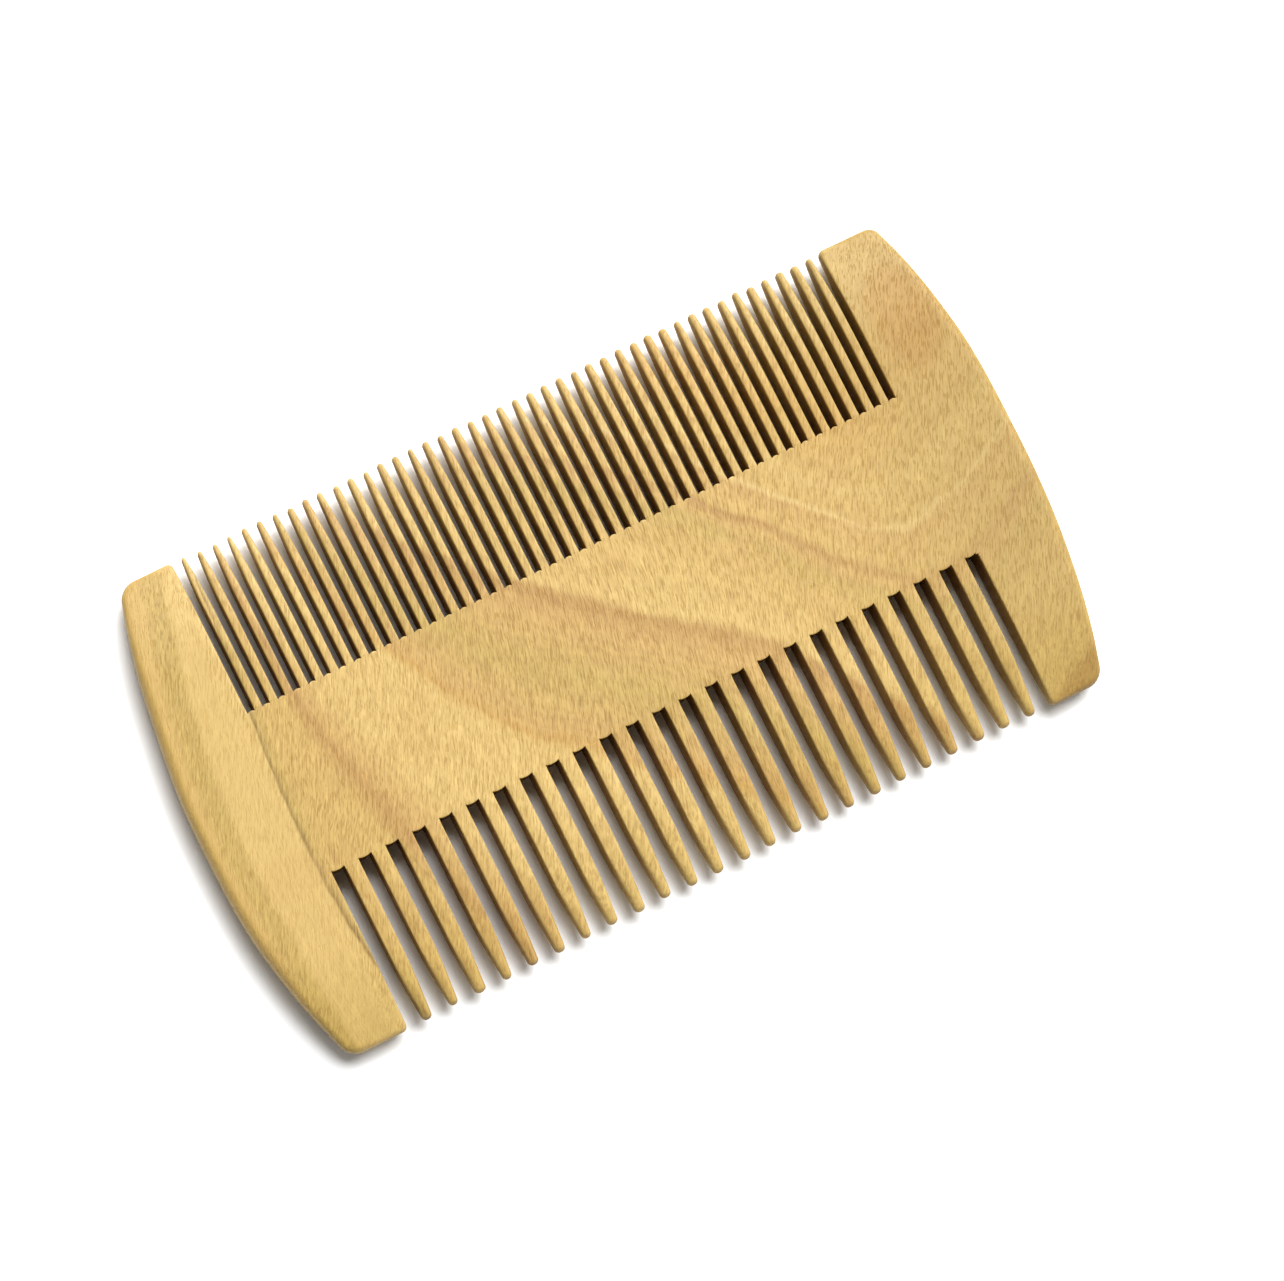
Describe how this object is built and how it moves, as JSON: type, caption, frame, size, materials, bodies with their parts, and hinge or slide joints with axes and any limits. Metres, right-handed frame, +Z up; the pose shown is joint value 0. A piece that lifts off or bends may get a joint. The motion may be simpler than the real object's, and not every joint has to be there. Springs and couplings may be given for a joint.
{
  "type": "beard comb",
  "caption": "Flat double-sided wooden beard comb: coarse teeth along one edge, fine teeth along the other, between two bowed end guards.",
  "frame": {"origin": "under the middle of the comb, on the flat face that it lies on", "axes": "+X along the comb's length, +Y towards the tips of the fine teeth, -Y towards the tips of the coarse teeth, +Z up through the board's thickness"},
  "size_m": [0.098, 0.055, 0.0043],
  "materials": {
    "wood": "sanded, lightly oiled"
  },
  "bodies": {
    "root": {"spine": "wood", "left_guard": "wood", "right_guard": "wood", "fine_teeth": "wood", "coarse_tooth_01": "wood", "coarse_tooth_02": "wood", "coarse_tooth_03": "wood", "coarse_tooth_04": "wood", "coarse_tooth_05": "wood", "coarse_tooth_06": "wood", "coarse_tooth_07": "wood", "coarse_tooth_08": "wood", "coarse_tooth_09": "wood", "coarse_tooth_10": "wood", "coarse_tooth_11": "wood", "coarse_tooth_12": "wood", "coarse_tooth_13": "wood", "coarse_tooth_14": "wood", "coarse_tooth_15": "wood", "coarse_tooth_16": "wood", "coarse_tooth_17": "wood", "coarse_tooth_18": "wood", "coarse_tooth_19": "wood", "coarse_tooth_20": "wood", "coarse_tooth_21": "wood", "coarse_tooth_22": "wood", "coarse_tooth_23": "wood", "coarse_tooth_24": "wood"}
  },
  "joints": []
}
